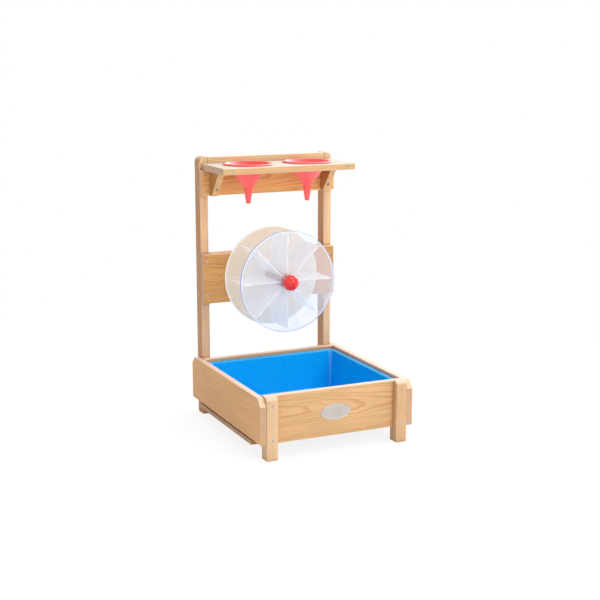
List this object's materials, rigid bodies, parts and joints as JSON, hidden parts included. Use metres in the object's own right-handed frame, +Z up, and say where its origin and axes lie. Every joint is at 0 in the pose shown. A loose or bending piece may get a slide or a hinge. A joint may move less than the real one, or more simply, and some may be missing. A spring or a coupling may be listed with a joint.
{
  "type": "sand wheel toy",
  "caption": "Wooden play frame over a lift-out plastic tub, with a shelf of funnels that pour sand onto a see-through paddle wheel turning on an axle with a ball knob.",
  "frame": {"origin": "centre of the footprint, on the floor under the feet", "axes": "+Z up, +X to the right for someone facing the sand box, +Y towards the uprights at the back"},
  "size_m": [0.44, 0.502, 0.735],
  "materials": {
    "pine": "planed softwood, clear satin oil",
    "pine_shade": "planed softwood, warmer boards",
    "hub": "turned hardwood",
    "steel": "zinc-plated",
    "plate": "brushed, unmarked",
    "knob": "gloss red",
    "clear_disc": "clear acrylic",
    "rear_disc": "clear acrylic over shaded pockets",
    "paddle": "milky translucent acrylic",
    "bush": "natural nylon",
    "coral": "satin moulded plastic",
    "blue": "satin moulded plastic"
  },
  "bodies": {
    "root": {"side_board_left": "pine_shade", "side_board_right": "pine_shade", "front_board": "pine", "rear_board": "pine", "front_leg_left": "pine", "front_leg_right": "pine", "upright_left": "pine", "upright_right": "pine", "cleat_left": "pine_shade", "cleat_right": "pine_shade", "slat_1": "pine", "slat_2": "pine", "slat_3": "pine", "slat_4": "pine", "front_plate": "plate", "top_rail": "pine", "apron_board": "pine", "wheel_board": "pine", "wheel_rail": "pine_shade", "shelf": "pine", "bracket_left": "pine", "bracket_right": "pine", "axle": "steel", "axle_nuts": "steel", "axle_washers": "steel", "knob": "knob", "leg_screws": "steel", "side_board_screws": "steel", "rail_screws": "steel", "apron_screws": "steel", "wheel_board_screws": "steel", "shelf_screws": "steel", "shelf_edge_screws": "steel", "bracket_screws": "steel", "slat_screws": "steel", "cleat_screws": "steel", "rear_board_screws": "steel"},
    "wheel": {"front_disc": "clear_disc", "rear_disc": "rear_disc", "paddle_1": "paddle", "paddle_2": "paddle", "paddle_3": "paddle", "paddle_4": "paddle", "paddle_5": "paddle", "paddle_6": "paddle", "paddle_7": "paddle", "paddle_8": "paddle", "hub": "hub", "hub_bushes": "bush", "hub_screws": "steel"},
    "funnel_left_body": {"funnel_left": "coral"},
    "funnel_right_body": {"funnel_right": "coral"},
    "tub_body": {"tub": "blue"}
  },
  "joints": [
    {"name": "wheel_spin", "type": "hinge", "parent": "root", "child": "wheel", "pos_m": [0, 0.125, 0.39475], "axis": [0, -1, 0], "continuous": true},
    {"name": "funnel_left_lift", "type": "slide", "parent": "root", "child": "funnel_left_body", "axis": [0, 0, 1], "range_m": [0, 0.115]},
    {"name": "funnel_right_lift", "type": "slide", "parent": "root", "child": "funnel_right_body", "axis": [0, 0, 1], "range_m": [0, 0.115]},
    {"name": "tub_lift", "type": "slide", "parent": "root", "child": "tub_body", "axis": [0, 0, 1], "range_m": [0, 0.091]}
  ]
}
